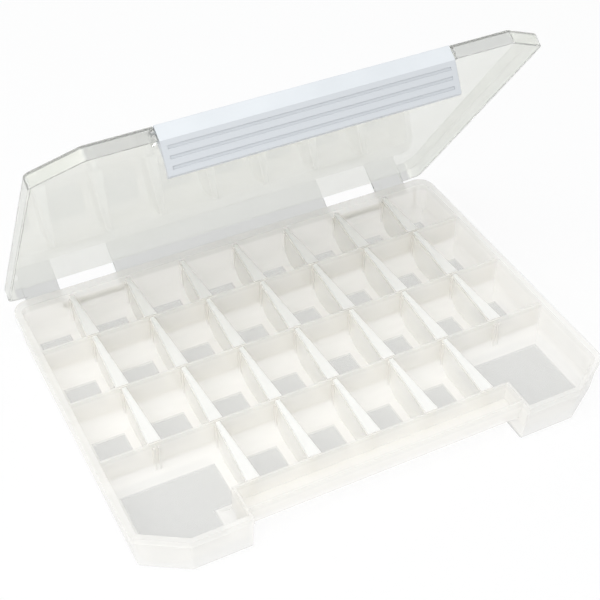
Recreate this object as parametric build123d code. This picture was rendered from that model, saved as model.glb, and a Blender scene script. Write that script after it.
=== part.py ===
# Divided sewing organiser case: tray, clear hinged lid, wide latch and lift-out dividers
# Millimetres. X to the right along the front, Y to the back, Z up, origin under the middle of the tray
import os
from build123d import *

# Closed case
case_width = 356.0
case_depth = 262.0
rim_height = 33.5
lid_height = 9.8
lid_seat_gap = 0.1
lid_open_angle = 55.0

# Outline seen from above
front_chamfer_x = 32.6
front_chamfer_y = 20.5
front_corner_radius = 6.0
back_corner_radius = 12.0

# Tray shell
flange_height = 5.5
flange_overhang = 1.5
wall_draft = 2.4
bottom_edge_radius = 4.0
floor_thickness = 2.0
inner_side_x = case_width / 2 - 5.0
rear_rim_width = 7.6
rear_recess_end = 12.0
inner_back_y = case_depth / 2 - rear_rim_width
cove_radius = 12.0
side_cove_radius = 10.0

# Rows of compartments, from the back to the front
wall_thickness = 1.8
back_row_depth = 47.9
front_band = 31.0
deep_rows = 3
first_wall_y = inner_back_y - back_row_depth
row_pitch = (first_wall_y - front_band + case_depth / 2) / deep_rows
wall_top = rim_height - 2.0
columns_each_side = 3
end_column = 39.2
column_pitch = (inner_side_x - end_column) / columns_each_side
front_row_columns = 2

# Stepped front with the shallow tool trough
pocket_step = 13.8
recess_half_width = front_row_columns * column_pitch + pocket_step
recess_top_y = -case_depth / 2 + 8.4
recess_bottom_y = -case_depth / 2 + 10.7
ledge_height = 15.8
front_wall_inset_top = 3.6
front_wall_inset_floor = 7.0

# Dividers and their slots
divider_thickness = 1.8
divider_end_gap = 0.3
divider_floor_gap = 0.05
slot_side_gap = 0.2
rib_width = 1.2
rib_depth = 2.0
rib_top = 28.0
rail_bottom = 29.0
rail_half_front = 4.7
rail_half_back = 1.5

# Lid
lid_wall = 1.8
lid_edge_radius = 1.5
window_inner_x = 91.4
window_outer_x = 137.1
rear_relief = 0.6
flap_gap = 0.3
flap_bottom = 24.0
flap_end = 14.0
flap_edge = 1.2

# Hinge at the back
hinge_y = case_depth / 2 - 2.6
hinge_z = 18.5
hinge_bar_radius = 1.6
running_gap = 0.06
clip_wall = 1.4
clip_end_gap = 0.6
clip_slot = 2.4
arm_width = 3.2
arm_end_radius = 2.4

# Latch
latch_end_gap = 2.4
latch_half_length = recess_half_width - latch_end_gap
latch_plate = 1.8
latch_grip = 1.6
latch_pivot_y = -case_depth / 2 + 3.8
latch_pivot_z = rim_height + 5.7
latch_pin_radius = 1.5
latch_pin_length = 2.6
latch_cheek_gap = 0.9
cheek_thickness = 2.0
grip_top_z = rim_height - 0.7
grip_run_in = 9.4
grip_bottom_z = ledge_height - 2.4
hook_reach = 3.0
hook_gap = 0.4
groove_count = 3
groove_width = 2.0
groove_depth = 0.7

front_y = -case_depth / 2
back_y = case_depth / 2
lid_top = rim_height + lid_height
lid_bottom = rim_height + lid_seat_gap
flange_bottom = rim_height - flange_height
far = 400.0


def outline(width, depth):
    """Case outline with chamfered front corners and rounded back corners."""
    x = width / 2
    y = depth / 2
    corners = [
        (-x, y),
        (-x, -y + front_chamfer_y),
        (-x + front_chamfer_x, -y),
        (x - front_chamfer_x, -y),
        (x, -y + front_chamfer_y),
        (x, y),
    ]
    face = make_face(Polyline(*corners, close=True))
    face = fillet(face.vertices().filter_by(lambda v: v.Y > 0), back_corner_radius)
    return fillet(face.vertices().filter_by(lambda v: v.Y < 0), front_corner_radius)


def side_profile(points, x_low, x_high):
    """Solid from a closed profile in the Y-Z plane, between two X positions."""
    face = Plane.YZ * make_face(Polyline(*points, close=True))
    return Pos(x_low, 0, 0) * extrude(face, x_high - x_low)


def block(x_low, x_high, y_low, y_high, z_low, z_high):
    """Rectangular block given by its limits."""
    size = Box(x_high - x_low, y_high - y_low, z_high - z_low)
    return Pos((x_low + x_high) / 2, (y_low + y_high) / 2, (z_low + z_high) / 2) * size


def rod(x_low, x_high, y, z, radius):
    """Round bar along X."""
    face = Plane.YZ * (Pos(y, z) * Circle(radius))
    return Pos(x_low, 0, 0) * extrude(face, x_high - x_low)


def bottom_rounded(points, radii):
    """Closed Y-Z or X-Z profile whose lower corners are rounded, as a flat face."""
    face = make_face(Polyline(*points, close=True))
    for index, radius in radii.items():
        target = points[index]
        vertex = face.vertices().sort_by_distance((target[0], target[1], 0))[0]
        face = fillet([vertex], radius)
    return face


def lane_cavity(y_front, y_back, x_low, x_high, front_lean=0.0):
    """Hollow of one row: coved floor at the front and back, and at both ends."""
    top = rim_height + 10.0
    lean = front_lean * (top - floor_thickness) / (rim_height - floor_thickness)
    across = [
        (y_front, floor_thickness),
        (y_back, floor_thickness),
        (y_back, top),
        (y_front - lean, top),
    ]
    along = [
        (x_low, floor_thickness),
        (x_high, floor_thickness),
        (x_high, top),
        (x_low, top),
    ]
    face_a = Plane.YZ * bottom_rounded(across, {0: cove_radius, 1: cove_radius})
    solid_a = Pos(-far, 0, 0) * extrude(face_a, 2 * far)
    face_b = Plane.XZ * bottom_rounded(along, {0: side_cove_radius, 1: side_cove_radius})
    solid_b = extrude(face_b, far, both=True)
    return solid_a & solid_b


# Rows: each has a front face and a back face that limit it
row_walls = [first_wall_y - k * row_pitch for k in range(deep_rows + 1)]
row_fronts = list(row_walls)
row_backs = [inner_back_y] + [y - wall_thickness for y in row_walls[:3]]
front_wall_outer = row_walls[3] - wall_thickness


def divider_columns(row):
    """Column positions that hold a divider in a row, row 0 at the back."""
    reach = front_row_columns if row == 3 else columns_each_side
    return [k * column_pitch for k in range(-reach, reach + 1)]


def make_tray():
    """The base tray with its compartments, stepped front and hinge clips."""
    full = outline(case_width, case_depth)
    under_flange = offset(full, -flange_overhang)
    foot = offset(full, -flange_overhang - wall_draft)
    shell = loft([foot, Pos(0, 0, flange_bottom) * under_flange], ruled=True)
    low_edges = shell.edges().filter_by(lambda e: e.center().Z < 0.01)
    shell = fillet(low_edges, bottom_edge_radius)
    # The back wall stands in under the wide rear rim, which leaves room for the hinge
    recess_x = case_width / 2 - rear_recess_end
    back_wall_outer = inner_back_y + wall_thickness
    shell -= block(-recess_x, recess_x, back_wall_outer, back_y + 5, -1, flange_bottom + 1)
    tray = shell + Pos(0, 0, flange_bottom) * extrude(full, flange_height)

    # Stepped front between the two corner pockets
    step = [
        (front_y - 20, -1),
        (front_wall_outer, -1),
        (front_wall_outer, ledge_height),
        (recess_bottom_y, ledge_height),
        (recess_top_y, rim_height),
        (recess_top_y, rim_height + 5),
        (front_y - 20, rim_height + 5),
    ]
    tray -= side_profile(step, -recess_half_width, recess_half_width)

    # Rows of compartments and the two large corner pockets
    pocket_x = recess_half_width + wall_thickness
    pocket_front = front_y + front_wall_inset_floor
    pocket_lean = front_wall_inset_floor - front_wall_inset_top
    hollow = lane_cavity(row_fronts[3], row_backs[3], -inner_side_x, inner_side_x)
    for low, high in ((-inner_side_x, -pocket_x), (pocket_x, inner_side_x)):
        hollow += lane_cavity(pocket_front, row_backs[3], low, high, pocket_lean)
    # The chamfered corners keep their wall, leaning with the outside
    inner_floor = Pos(0, 0, floor_thickness - 1) * offset(full, -front_wall_inset_floor - 0.3)
    inner_top = Pos(0, 0, rim_height + 1) * offset(full, -front_wall_inset_top)
    corner_limit = loft([inner_floor, inner_top], ruled=True)
    grown = block(-far, far, pocket_front + 18, far, 0, rim_height + 20)
    hollow = hollow & (corner_limit + grown)
    tray -= hollow
    back_shift = front_wall_inset_top - rear_rim_width
    back_limit = Pos(0, back_shift, 0) * extrude(offset(full, -front_wall_inset_top), rim_height + 20)
    for row in range(3):
        tray -= lane_cavity(row_fronts[row], row_backs[row], -inner_side_x, inner_side_x) & back_limit

    # Walls between the rows stop a little under the rim
    tray -= block(-inner_side_x, inner_side_x, front_wall_outer, inner_back_y - 8, wall_top, rim_height + 9)

    # Shallow trough between the front wall of the compartments and the latch ledge
    lean = recess_bottom_y - recess_top_y
    rise = rim_height - ledge_height
    inner_low = recess_bottom_y + wall_thickness
    top_extra = 6.0
    trough = [
        (inner_low, ledge_height + wall_thickness),
        (front_wall_outer, ledge_height + wall_thickness),
        (front_wall_outer, rim_height + top_extra),
        (inner_low - lean * (rise + top_extra) / rise, rim_height + top_extra),
    ]
    tray -= side_profile(trough, -recess_half_width, recess_half_width)

    # Slot ribs for the dividers, on both faces of every row
    offset_x = divider_thickness / 2 + slot_side_gap + rib_width / 2
    ribs = []
    for row in range(4):
        places = [(x, "both") for x in divider_columns(row)]
        if row == 3:
            outer = columns_each_side * column_pitch
            places += [(-outer, "back"), (outer, "back")]
        for x, ends in places:
            for side in (-1, 1):
                low = x + side * offset_x - rib_width / 2
                high = low + rib_width
                y_back = row_backs[row]
                ribs.append(block(
                    low, high, y_back - rib_depth, y_back + 0.4, floor_thickness - 0.5, rib_top
                ))
                if ends == "both":
                    y_front = row_fronts[row]
                    ribs.append(block(
                        low, high, y_front - 0.4, y_front + rib_depth, floor_thickness - 0.5, rib_top
                    ))
    tray = tray + ribs

    # Hinge clips on the back wall, open to the back so that the lid's bars snap in
    clip_radius = hinge_bar_radius + running_gap + clip_wall
    for side in (-1, 1):
        low = min(side * (window_inner_x + clip_end_gap), side * (window_outer_x - clip_end_gap))
        high = max(side * (window_inner_x + clip_end_gap), side * (window_outer_x - clip_end_gap))
        clip = rod(low, high, hinge_y, hinge_z, clip_radius)
        clip_root = inner_back_y + wall_thickness / 3
        clip += block(low, high, clip_root, hinge_y, hinge_z - clip_radius, hinge_z + clip_radius)
        clip -= rod(low - 1, high + 1, hinge_y, hinge_z, hinge_bar_radius + running_gap)
        clip -= block(
            low - 1, high + 1, hinge_y, hinge_y + 9, hinge_z - clip_slot / 2, hinge_z + clip_slot / 2
        )
        tray += clip
    return tray


def make_lid():
    """Clear lid, modelled closed: shallow cover with hinge arms and latch cheeks."""
    full = outline(case_width, case_depth)
    cover = Pos(0, 0, lid_bottom) * extrude(full, lid_top - lid_bottom)
    top_edges = cover.edges().filter_by(lambda e: e.center().Z > lid_top - 0.01)
    cover = fillet(top_edges, lid_edge_radius)
    inside = extrude(offset(full, -lid_wall), lid_top - lid_wall)
    cover -= inside

    # Front edge gives way to the latch
    notch_x = latch_half_length + latch_cheek_gap
    cover -= block(-notch_x, notch_x, front_y - 5, latch_pivot_y + 3.7, rim_height - 5, lid_top + 5)
    under_panel = lid_top - lid_wall
    for side in (-1, 1):
        low = min(side * notch_x, side * (notch_x + cheek_thickness))
        cheek = block(
            low, low + cheek_thickness, front_y + 0.6, front_y + 9.4, lid_bottom + 0.2, under_panel + 0.3
        )
        cover += cheek
        pin_hole = latch_pin_radius + running_gap
        cover -= rod(low - 1, low + cheek_thickness + 1, latch_pivot_y, latch_pivot_z, pin_hole)

    # Rear flap hangs behind the tray's rim, closed at both ends
    flap_in = back_y + flap_gap
    flap_out = flap_in + lid_wall
    flap_x = case_width / 2 - flap_end
    skirt_in = back_y - lid_wall
    rear_bottom = lid_bottom + rear_relief
    cover -= block(-far, far, hinge_y - 1.4, far, 0, rear_bottom)
    cover -= block(-flap_x + lid_wall, flap_x - lid_wall, skirt_in - 0.1, far, 0, under_panel)
    corner_section = [
        (skirt_in - 1.0, under_panel),
        (skirt_in - 1.0, lid_top),
        (flap_out - flap_edge, lid_top),
        (flap_out, lid_top - flap_edge),
        (flap_out, flap_bottom),
        (flap_in, flap_bottom),
        (flap_in, under_panel),
    ]
    cover += side_profile(corner_section, -flap_x, flap_x)
    for low in (-flap_x, flap_x - lid_wall):
        cover += block(low, low + lid_wall, skirt_in, flap_out, rear_bottom, under_panel + 0.3)

    # The flap opens over each hinge, with two arms that carry a bar under the rim
    arm_section = [
        (hinge_y, hinge_z + arm_end_radius),
        (flap_in, hinge_z + 2 * arm_end_radius),
        (flap_in, under_panel + 0.2),
        (flap_out, under_panel + 0.2),
        (flap_out, hinge_z + arm_end_radius / 2),
        (hinge_y, hinge_z - arm_end_radius),
    ]
    for side in (-1, 1):
        low = min(side * window_inner_x, side * window_outer_x)
        high = max(side * window_inner_x, side * window_outer_x)
        cover -= block(low, high, skirt_in - 0.6, back_y + 9, 0, under_panel)
        for edge in (low - arm_width, high):
            cover += side_profile(arm_section, edge, edge + arm_width)
            cover += rod(edge, edge + arm_width, hinge_y, hinge_z, arm_end_radius)
        cover += rod(low - 0.5, high + 0.5, hinge_y, hinge_z, hinge_bar_radius)
    return cover


def make_latch():
    """White latch, modelled closed: plain front plate, leaning ribbed grip and hook."""
    half = latch_half_length
    plate_top = lid_top - 0.1
    grip_low_y = front_y + grip_run_in
    fall = grip_top_z - grip_bottom_z
    thick_y = latch_grip * (fall ** 2 + grip_run_in ** 2) ** 0.5 / fall
    hook_top = ledge_height - hook_gap
    inner_at_hook = grip_low_y - grip_run_in * (hook_top - grip_bottom_z) / fall + thick_y
    section = [
        (front_y, plate_top),
        (front_y, grip_top_z),
        (grip_low_y, grip_bottom_z),
        (grip_low_y + hook_reach, grip_bottom_z),
        (grip_low_y + hook_reach, hook_top),
        (inner_at_hook, hook_top),
        (front_y + latch_plate, grip_top_z + 0.6),
        (front_y + latch_plate, plate_top),
    ]
    latch = side_profile(section, -half, half)

    # End plates that carry the pivot pins
    end_y = latch_pivot_y + 2.6
    end_section = [
        (front_y + 0.2, plate_top - 0.2),
        (front_y + 0.2, grip_top_z),
        (front_y + grip_run_in * 0.75, grip_top_z - fall * 0.72),
        (end_y, grip_top_z - fall * 0.45),
        (end_y, plate_top - 1.6),
        (end_y - 1.4, plate_top - 0.2),
    ]
    for low in (-half, half - 2.0):
        latch += side_profile(end_section, low, low + 2.0)
    for low in (-half - latch_pin_length, half - 0.5):
        latch += rod(low, low + latch_pin_length + 0.5, latch_pivot_y, latch_pivot_z, latch_pin_radius)

    # Finger grooves along the leaning face
    slope = (fall ** 2 + grip_run_in ** 2) ** 0.5
    along = (grip_run_in / slope, -fall / slope)
    inward = (fall / slope, grip_run_in / slope)
    for k in range(groove_count):
        start = slope * (k + 0.75) / (groove_count + 0.5) - groove_width / 2
        corners = []
        for s, n in ((0, -0.5), (groove_width, -0.5), (groove_width, groove_depth), (0, groove_depth)):
            y = front_y + along[0] * (start + s) + inward[0] * n
            z = grip_top_z + along[1] * (start + s) + inward[1] * n
            corners.append((y, z))
        latch -= side_profile(corners, -half + 4.0, half - 4.0)
    return latch


def make_divider(row, x):
    """Lift-out divider: a plate with rounded lower corners and a top rail that widens to the front."""
    y_low = row_fronts[row] + divider_end_gap
    y_high = row_backs[row] - divider_end_gap
    z_low = floor_thickness + divider_floor_gap
    points = [(y_low, z_low), (y_high, z_low), (y_high, wall_top), (y_low, wall_top)]
    corner = cove_radius + 1.0
    face = Plane.YZ * bottom_rounded(points, {0: corner, 1: corner})
    plate = Pos(x - divider_thickness / 2, 0, 0) * extrude(face, divider_thickness)
    rail_corners = [
        (x - rail_half_front, y_low),
        (x + rail_half_front, y_low),
        (x + rail_half_back, y_high),
        (x - rail_half_back, y_high),
    ]
    rail_face = make_face(Polyline(*rail_corners, close=True))
    rail = Pos(0, 0, rail_bottom) * extrude(rail_face, wall_top - rail_bottom)
    return plate + rail


def opened(shape):
    """Swing a closed lid piece about the hinge to the open rest position."""
    return shape.rotate(Axis((0, hinge_y, hinge_z), (-1, 0, 0)), lid_open_angle)


os.makedirs("parts", exist_ok=True)
export_step(make_tray(), "parts/base_tray.step")
export_step(opened(make_lid()), "parts/clear_lid.step")
export_step(opened(make_latch()), "parts/front_latch.step")
row_names = ("back", "second", "third", "front")
for row, row_name in enumerate(row_names):
    for number, x in enumerate(divider_columns(row), start=1):
        export_step(make_divider(row, x), f"parts/divider_{row_name}_row_{number}.step")
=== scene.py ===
import bpy
import math
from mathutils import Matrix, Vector

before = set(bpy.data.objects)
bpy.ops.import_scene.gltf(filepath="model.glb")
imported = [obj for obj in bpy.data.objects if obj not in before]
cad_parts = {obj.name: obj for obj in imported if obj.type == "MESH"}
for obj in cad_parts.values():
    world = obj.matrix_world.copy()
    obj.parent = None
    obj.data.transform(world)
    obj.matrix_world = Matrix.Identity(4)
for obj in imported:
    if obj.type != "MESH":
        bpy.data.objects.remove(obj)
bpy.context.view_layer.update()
scene = bpy.context.scene
scene.view_settings.view_transform = "Standard"

# Light passes many thin walls, so it may bounce often
scene.cycles.max_bounces = 24
scene.cycles.diffuse_bounces = 16
scene.cycles.glossy_bounces = 12
scene.cycles.transparent_max_bounces = 48

# Grid of the compartments, in metres
column_pitch = 0.0446
row_pitch = 0.0585
first_wall = 0.0755
pocket_side = 0.0967
pocket_back = -0.0433

# Clearer patches on the floors, with painted shade for the shadow under the case seen through them,
# in metres
patch_from_columns = 0.0075
patch_from_rows = 0.0155
patch_softness = 0.0004
floor_low = 0.00203
floor_high = 0.0024

# Height at which the divider rails begin, in metres
rail_low = 0.0272
rail_high = 0.0290

# Range of a noise that is spread over two limits
noise_low = 0.3
noise_high = 0.7

# Direction that the front edge of the open lid faces
lid_angle = math.radians(55)
lid_front = (0.0, -math.cos(lid_angle), math.sin(lid_angle))


def nodes_of(material):
    """Empty node tree with an output and a principled shader."""
    material.use_nodes = True
    tree = material.node_tree
    tree.nodes.clear()
    out = tree.nodes.new("ShaderNodeOutputMaterial")
    shader = tree.nodes.new("ShaderNodeBsdfPrincipled")
    tree.links.new(shader.outputs["BSDF"], out.inputs["Surface"])
    return tree, shader


def feed(tree, socket, value):
    """Gives an input another node's output, or a plain value."""
    if isinstance(value, bpy.types.NodeSocket):
        tree.links.new(value, socket)
    else:
        socket.default_value = value


def noise(tree, scale, detail=2.0):
    """Noise in object space."""
    where = tree.nodes.new("ShaderNodeTexCoord")
    tex = tree.nodes.new("ShaderNodeTexNoise")
    tex.inputs["Scale"].default_value = scale
    tex.inputs["Detail"].default_value = detail
    tree.links.new(where.outputs["Object"], tex.inputs["Vector"])
    return tex.outputs["Fac"]


def cloudy(tree, value, low, high):
    """Colour that drifts between two tones with a noise."""
    node = tree.nodes.new("ShaderNodeValToRGB")
    stops = (noise_low, noise_high)
    for item, position, colour in zip(node.color_ramp.elements, stops, (low, high)):
        item.position = position
        item.color = (*colour, 1.0)
    tree.links.new(value, node.inputs["Fac"])
    return node.outputs["Color"]


def between(tree, value, low, high, bottom=0.0, top=1.0):
    """Number that goes from bottom to top while a value goes from low to high."""
    node = tree.nodes.new("ShaderNodeMapRange")
    node.inputs["From Min"].default_value = low
    node.inputs["From Max"].default_value = high
    node.inputs["To Min"].default_value = bottom
    node.inputs["To Max"].default_value = top
    tree.links.new(value, node.inputs["Value"])
    return node.outputs["Result"]


def calc(tree, operation, first, second=0.0):
    """Math node on two values, each a socket or a number."""
    node = tree.nodes.new("ShaderNodeMath")
    node.operation = operation
    feed(tree, node.inputs[0], first)
    feed(tree, node.inputs[1], second)
    return node.outputs[0]


def blend(tree, kind, share, first, second):
    """Mix of two colours or numbers, each a socket or a value."""
    node = tree.nodes.new("ShaderNodeMix")
    node.data_type = kind
    tree.links.new(share, node.inputs["Factor"])
    feed(tree, node.inputs["A"], first)
    feed(tree, node.inputs["B"], second)
    return node.outputs["Result"]


def facing(tree, direction):
    """Cosine of the angle between the surface's normal and a direction, in object space."""
    where = tree.nodes.new("ShaderNodeTexCoord")
    node = tree.nodes.new("ShaderNodeVectorMath")
    node.operation = "DOT_PRODUCT"
    node.inputs[1].default_value = direction
    tree.links.new(where.outputs["Normal"], node.inputs[0])
    return node.outputs["Value"]


def rough(tree, shader, scale, detail, low, high):
    """Uneven roughness between two limits."""
    value = between(tree, noise(tree, scale, detail), noise_low, noise_high, low, high)
    tree.links.new(value, shader.inputs["Roughness"])


def soft_edges(tree, shader, radius, scale, strength, distance):
    """Rounded-looking moulded edges with a fine surface texture."""
    bevel = tree.nodes.new("ShaderNodeBevel")
    bevel.samples = 4
    bevel.inputs["Radius"].default_value = radius
    bump = tree.nodes.new("ShaderNodeBump")
    bump.inputs["Strength"].default_value = strength
    bump.inputs["Distance"].default_value = distance
    tree.links.new(noise(tree, scale), bump.inputs["Height"])
    tree.links.new(bevel.outputs["Normal"], bump.inputs["Normal"])
    tree.links.new(bump.outputs["Normal"], shader.inputs["Normal"])


def away_from_lines(tree, value, pitch, clear_of):
    """1 where a coordinate is further than a distance from evenly spaced lines, else 0."""
    distance = calc(tree, "PINGPONG", value, pitch / 2)
    return between(tree, distance, clear_of - patch_softness, clear_of + patch_softness)


def shaded_floor_patches(tree, x, y):
    """1 on the clearer patch of each compartment, where shade is painted, and all over the two
    corner pockets, else 0.
    """
    across = away_from_lines(tree, x, column_pitch, patch_from_columns)
    from_wall = calc(tree, "SUBTRACT", y, first_wall)
    along = away_from_lines(tree, from_wall, row_pitch, patch_from_rows)
    side = calc(tree, "GREATER_THAN", calc(tree, "ABSOLUTE", x), pocket_side)
    front = calc(tree, "LESS_THAN", y, pocket_back)
    pocket = calc(tree, "MULTIPLY", side, front)
    return calc(tree, "MAXIMUM", calc(tree, "MULTIPLY", across, along), pocket)


def frosted(name, low, high, painted_floor_shade, floor_cover, cover, rail_cover):
    """Frosted natural plastic that lets light through, clearer on the floor patches, with painted
    shade there for the shadow under the case seen through them.
    """
    material = bpy.data.materials.new(name)
    tree, shader = nodes_of(material)
    where = tree.nodes.new("ShaderNodeTexCoord")
    split = tree.nodes.new("ShaderNodeSeparateXYZ")
    tree.links.new(where.outputs["Object"], split.inputs[0])
    x, y, z = split.outputs
    above_floor = between(tree, z, floor_low, floor_high)
    off_patch = calc(tree, "SUBTRACT", 1.0, shaded_floor_patches(tree, x, y))
    milky = calc(tree, "MAXIMUM", above_floor, off_patch)

    tone = cloudy(tree, noise(tree, scale=22.0, detail=3.0), low, high)
    # Painted shade on the floor patches: the shadow under the case seen through the clear floor
    colour = blend(tree, "RGBA", milky, (*painted_floor_shade, 1.0), tone)
    tree.links.new(colour, shader.inputs["Base Color"])
    thick = between(tree, z, rail_low, rail_high, cover, rail_cover)
    tree.links.new(blend(tree, "FLOAT", milky, floor_cover, thick), shader.inputs["Alpha"])
    shader.inputs["IOR"].default_value = 1.49
    shader.inputs["Specular IOR Level"].default_value = 0.08
    rough(tree, shader, scale=60.0, detail=3.0, low=0.46, high=0.60)
    soft_edges(tree, shader, radius=0.0006, scale=1400.0, strength=0.10, distance=0.0003)
    return material


def clear(name, low, high, painted_edge_shade):
    """Clear, slightly grey moulded plastic, with painted shade on its front and back edges."""
    material = bpy.data.materials.new(name)
    tree, shader = nodes_of(material)
    plain = cloudy(tree, noise(tree, scale=9.0), low, high)
    # Faces turned to the lid's front or back get painted shade
    along_front = calc(tree, "ABSOLUTE", facing(tree, lid_front))
    edge = between(tree, along_front, low=0.90, high=0.97)
    colour = blend(tree, "RGBA", edge, plain, (*painted_edge_shade, 1.0))
    tree.links.new(colour, shader.inputs["Base Color"])
    shader.inputs["IOR"].default_value = 1.47
    shader.inputs["Transmission Weight"].default_value = 0.86
    rough(tree, shader, scale=45.0, detail=4.0, low=0.04, high=0.08)
    soft_edges(tree, shader, radius=0.0004, scale=26.0, strength=0.05, distance=0.001)
    return material


def satin(name, low, high, painted_grip_shade):
    """Satin opaque plastic, with painted shade on all but its plain front face."""
    material = bpy.data.materials.new(name)
    tree, shader = nodes_of(material)
    plain = cloudy(tree, noise(tree, scale=30.0, detail=3.0), low, high)
    # Painted shade on every face but the plain front face
    front_face = between(tree, facing(tree, lid_front), low=0.93, high=0.98)
    colour = blend(tree, "RGBA", front_face, (*painted_grip_shade, 1.0), plain)
    tree.links.new(colour, shader.inputs["Base Color"])
    shader.inputs["IOR"].default_value = 1.5
    rough(tree, shader, scale=90.0, detail=3.0, low=0.30, high=0.42)
    soft_edges(tree, shader, radius=0.0004, scale=1800.0, strength=0.08, distance=0.0002)
    return material


materials = {
    "base_tray": frosted(
        "frosted_tray_plastic",
        low=(0.962, 0.947, 0.914),
        high=(0.978, 0.965, 0.936),
        # Painted shade for the shadow seen through the floor patches
        painted_floor_shade=(0.62, 0.62, 0.60),
        floor_cover=0.32,
        cover=0.44,
        rail_cover=0.40,
    ),
    "clear_lid": clear(
        "clear_lid_plastic",
        low=(0.94, 0.95, 0.91),
        high=(0.97, 0.98, 0.95),
        # Painted shade for the lid's front and back skirts
        painted_edge_shade=(0.80, 0.805, 0.80),
    ),
    "front_latch": satin(
        "white_latch_plastic",
        low=(0.69, 0.72, 0.745),
        high=(0.73, 0.76, 0.785),
        # Painted shade for the grip and the latch's other faces
        painted_grip_shade=(0.60, 0.625, 0.65),
    ),
}
divider_plastic = frosted(
    "frosted_divider_plastic",
    low=(0.975, 0.970, 0.948),
    high=(0.99, 0.986, 0.966),
    painted_floor_shade=(0.975, 0.97, 0.948),
    floor_cover=0.36,
    cover=0.38,
    rail_cover=0.82,
)

for name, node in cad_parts.items():
    node.data.materials.clear()
    node.data.materials.append(materials.get(name, divider_plastic))


def seen_directly(tree):
    """1 for rays from the camera, mirrors and clear plastic, else 0."""
    path = tree.nodes.new("ShaderNodeLightPath")
    first = calc(tree, "MAXIMUM", path.outputs["Is Camera Ray"], path.outputs["Is Glossy Ray"])
    return calc(tree, "MAXIMUM", first, path.outputs["Is Transmission Ray"])


def mixed_surface(tree, output, share, first, second):
    """Two shaders mixed by a share and led to an output."""
    out = tree.nodes.new(output)
    mix = tree.nodes.new("ShaderNodeMixShader")
    tree.links.new(share, mix.inputs["Fac"])
    tree.links.new(first.outputs[0], mix.inputs[1])
    tree.links.new(second.outputs[0], mix.inputs[2])
    tree.links.new(mix.outputs[0], out.inputs["Surface"])


def white_world():
    """White where it is seen, and a soft, slightly cool fill light elsewhere."""
    world = bpy.data.worlds.new("studio")
    scene.world = world
    world.use_nodes = True
    tree = world.node_tree
    tree.nodes.clear()
    fill = tree.nodes.new("ShaderNodeBackground")
    fill.inputs["Color"].default_value = (0.97, 0.985, 1.0, 1.0)
    fill.inputs["Strength"].default_value = 0.78
    white = tree.nodes.new("ShaderNodeBackground")
    white.inputs["Color"].default_value = (1.0, 1.0, 1.0, 1.0)
    white.inputs["Strength"].default_value = 1.0
    mixed_surface(tree, "ShaderNodeOutputWorld", seen_directly(tree), fill, white)


def studio_paper():
    """White paper that mostly glows where it is seen, a little less in mirrors."""
    paper = bpy.data.materials.new("studio_paper")
    paper.use_nodes = True
    tree = paper.node_tree
    tree.nodes.clear()
    flat = tree.nodes.new("ShaderNodeBsdfDiffuse")
    flat.inputs["Color"].default_value = (0.92, 0.92, 0.92, 1.0)
    glow = tree.nodes.new("ShaderNodeEmission")
    glow.inputs["Color"].default_value = (1.0, 1.0, 1.0, 1.0)
    path = tree.nodes.new("ShaderNodeLightPath")
    mirrored = path.outputs["Is Glossy Ray"]
    strength = between(tree, mirrored, low=0.0, high=1.0, bottom=1.0, top=0.95)
    tree.links.new(strength, glow.inputs["Strength"])
    glow_share = 0.85
    share = calc(tree, "MULTIPLY", seen_directly(tree), glow_share)
    mixed_surface(tree, "ShaderNodeOutputMaterial", share, flat, glow)
    return paper


def lamp(name, place, side, power):
    """Soft square studio lamp that points at the case."""
    aim = Vector((0, 0, 0.05))
    data = bpy.data.lights.new(name, "AREA")
    data.shape = "RECTANGLE"
    data.size = side
    data.size_y = side
    data.energy = power
    obj = bpy.data.objects.new(name, data)
    obj.location = place
    obj.rotation_euler = (aim - Vector(place)).to_track_quat("-Z", "Y").to_euler()
    scene.collection.objects.link(obj)


white_world()
lamp("key_softbox", (-1.0, -1.2, 1.0), side=1.0, power=2.0)
lamp("top_softbox", (-0.8, -0.6, 1.4), side=1.4, power=12.0)

# Floor just under the feet
floor_half = 30.0
floor_gap = 0.0004
corners = [(-1, -1), (1, -1), (1, 1), (-1, 1)]
floor_mesh = bpy.data.meshes.new("studio_floor")
floor_mesh.from_pydata([(x * floor_half, y * floor_half, 0) for x, y in corners], [], [(0, 1, 2, 3)])
floor_mesh.materials.append(studio_paper())
floor = bpy.data.objects.new("studio_floor", floor_mesh)
scene.collection.objects.link(floor)
floor.location.z = -floor_gap

# Camera at the photograph's viewing angle
azimuth = 26.871
elevation = 41.33
focal_pixels = 1284.57
image_pixels = 600
sensor = 36.0
camera_data = bpy.data.cameras.new("photo_camera")
camera_data.sensor_width = sensor
camera_data.lens = focal_pixels / image_pixels * sensor
camera_data.clip_start = 0.01
camera = bpy.data.objects.new("photo_camera", camera_data)
camera.location = (-0.30782, -0.59755, 0.6613)
camera.rotation_euler = (math.radians(90 - elevation), 0, math.radians(-azimuth))
scene.collection.objects.link(camera)
scene.camera = camera
